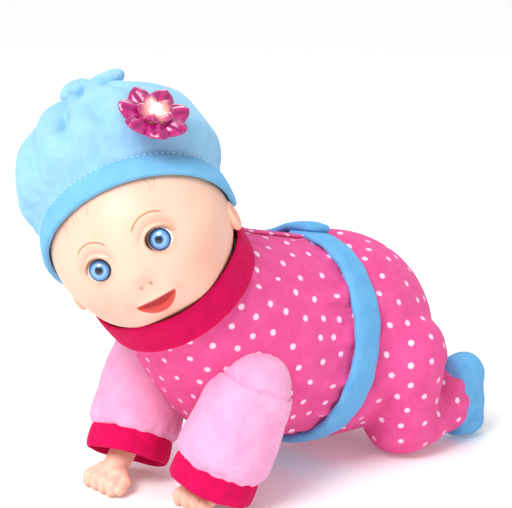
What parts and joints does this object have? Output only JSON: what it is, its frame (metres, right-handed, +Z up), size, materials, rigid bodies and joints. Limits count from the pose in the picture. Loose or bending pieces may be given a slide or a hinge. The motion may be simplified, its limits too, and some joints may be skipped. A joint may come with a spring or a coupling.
{
  "type": "interactive baby doll",
  "caption": "Crawling baby doll in a dotted suit and a gathered hat with a lit flower; geared swinging arms and legs and a turning head on a slanted neck.",
  "frame": {"origin": "middle of the doll's outline, on the surface it crawls on", "axes": "+Z up, -Y the way the doll crawls, +X to the doll's left"},
  "size_m": [0.158, 0.3302, 0.2614],
  "materials": {
    "case_plastic": "moulded ABS, satin",
    "steel": "bright zinc-plated steel",
    "battery_wrap": "printed shrink sleeve on a steel can",
    "board_green": "green solder mask",
    "black_plastic": "moulded black plastic",
    "gear_plastic": "moulded acetal, slightly waxy",
    "stuffing": "polyester fibre filling",
    "dotted_velour": "brushed velour with small pale dots",
    "crimson_jersey": "brushed cotton jersey",
    "sky_blue_jersey": "brushed cotton jersey",
    "hat_jersey": "fine knitted cotton jersey",
    "pale_pink_velour": "brushed plain velour",
    "vinyl_skin": "rotocast soft vinyl, satin, sprayed blush",
    "doll_eye": "clear dome over a printed iris",
    "flower_base_plastic": "moulded ABS",
    "flower_lens_plastic": "translucent magenta moulded acrylic",
    "led_lens": "lit warm white LED dome"
  },
  "bodies": {
    "torso": {"case_upper": "case_plastic", "case_lower": "case_plastic", "case_screws": "steel", "battery_door": "case_plastic", "door_screw": "steel", "battery_cells": "battery_wrap", "battery_contacts": "steel", "circuit_board": "board_green", "sound_sensor": "black_plastic", "speaker": "black_plastic", "drive_motor": "steel", "gear_plates": "steel", "neck_post": "case_plastic", "neck_retainer": "steel", "body_padding": "stuffing", "jacket": "dotted_velour", "jacket_collar": "crimson_jersey", "jacket_placket": "dotted_velour", "waist_band": "sky_blue_jersey", "trousers_seat": "dotted_velour"},
    "head": {"head_shell": "vinyl_skin", "neck_socket": "case_plastic", "left_eye": "doll_eye", "right_eye": "doll_eye", "hat_crown": "hat_jersey", "hat_band": "hat_jersey", "hat_tuft": "hat_jersey", "flower_base": "flower_base_plastic", "flower_lens": "flower_lens_plastic", "flower_led": "led_lens"},
    "left_arm": {"left_arm_core": "case_plastic", "left_hand": "vinyl_skin", "left_sleeve": "pale_pink_velour", "left_cuff": "crimson_jersey"},
    "right_arm": {"right_arm_core": "case_plastic", "right_hand": "vinyl_skin", "right_sleeve": "pale_pink_velour", "right_cuff": "crimson_jersey"},
    "left_leg": {"left_leg_core": "case_plastic", "left_trouser_leg": "dotted_velour", "left_knee_pad": "dotted_velour", "left_bootie": "sky_blue_jersey"},
    "right_leg": {"right_leg_core": "case_plastic", "right_trouser_leg": "dotted_velour", "right_knee_pad": "dotted_velour", "right_bootie": "sky_blue_jersey"},
    "left_link": {"left_link_rod": "gear_plastic"},
    "right_link": {"right_link_rod": "gear_plastic"},
    "switch_knob": {"power_switch": "black_plastic"},
    "pinion": {"motor_pinion": "gear_plastic"},
    "idler": {"idler_gear": "gear_plastic"},
    "crank": {"crank_gear": "gear_plastic"}
  },
  "joints": [
    {"name": "neck_turn", "type": "hinge", "parent": "torso", "child": "head", "pos_m": [0.0041, -0.0993, 0.174], "axis": [0, -0.6157, 0.788], "range_deg": [-110, 10]},
    {"name": "left_shoulder", "type": "hinge", "parent": "torso", "child": "left_arm", "pos_m": [0.0541, -0.0523, 0.078], "axis": [1, 0, 0], "range_deg": [-10, 10]},
    {"name": "right_shoulder", "type": "hinge", "parent": "torso", "child": "right_arm", "pos_m": [-0.0459, -0.0523, 0.078], "axis": [1, 0, 0], "range_deg": [-10, 10]},
    {"name": "left_hip", "type": "hinge", "parent": "torso", "child": "left_leg", "pos_m": [0.0521, 0.0757, 0.074], "axis": [1, 0, 0], "range_deg": [-7, 7]},
    {"name": "right_hip", "type": "hinge", "parent": "torso", "child": "right_leg", "pos_m": [-0.0439, 0.0757, 0.074], "axis": [1, 0, 0], "range_deg": [-7, 7]},
    {"name": "left_rod_pivot", "type": "hinge", "parent": "left_arm", "child": "left_link", "pos_m": [0.0291, -0.05001, 0.08978], "axis": [1, 0, 0], "range_deg": [-10, 10]},
    {"name": "right_rod_pivot", "type": "hinge", "parent": "right_arm", "child": "right_link", "pos_m": [-0.0209, -0.05001, 0.08978], "axis": [1, 0, 0], "range_deg": [-10, 10]},
    {"name": "power_slide", "type": "slide", "parent": "torso", "child": "switch_knob", "axis": [0, 0.9816, -0.1908], "range_m": [0, 0.0035]},
    {"name": "crank_spin", "type": "hinge", "parent": "torso", "child": "crank", "pos_m": [0.0041, -0.02487, 0.08707], "axis": [1, 0, 0], "continuous": true},
    {"name": "idler_spin", "type": "hinge", "parent": "torso", "child": "idler", "pos_m": [0.0041, -0.00598, 0.0834], "axis": [1, 0, 0], "continuous": true},
    {"name": "pinion_spin", "type": "hinge", "parent": "torso", "child": "pinion", "pos_m": [0.0041, 0.00932, 0.09371], "axis": [1, 0, 0], "continuous": true}
  ],
  "couplings": [
    {"joint": "right_shoulder", "follows": "left_shoulder", "ratio": -1},
    {"joint": "left_hip", "follows": "left_shoulder", "ratio": -0.66667},
    {"joint": "right_hip", "follows": "left_shoulder", "ratio": 0.66667},
    {"joint": "left_rod_pivot", "follows": "left_shoulder", "ratio": -1},
    {"joint": "right_rod_pivot", "follows": "left_shoulder", "ratio": 1},
    {"joint": "idler_spin", "follows": "pinion_spin", "ratio": -0.27778},
    {"joint": "crank_spin", "follows": "pinion_spin", "ratio": 0.092593}
  ]
}
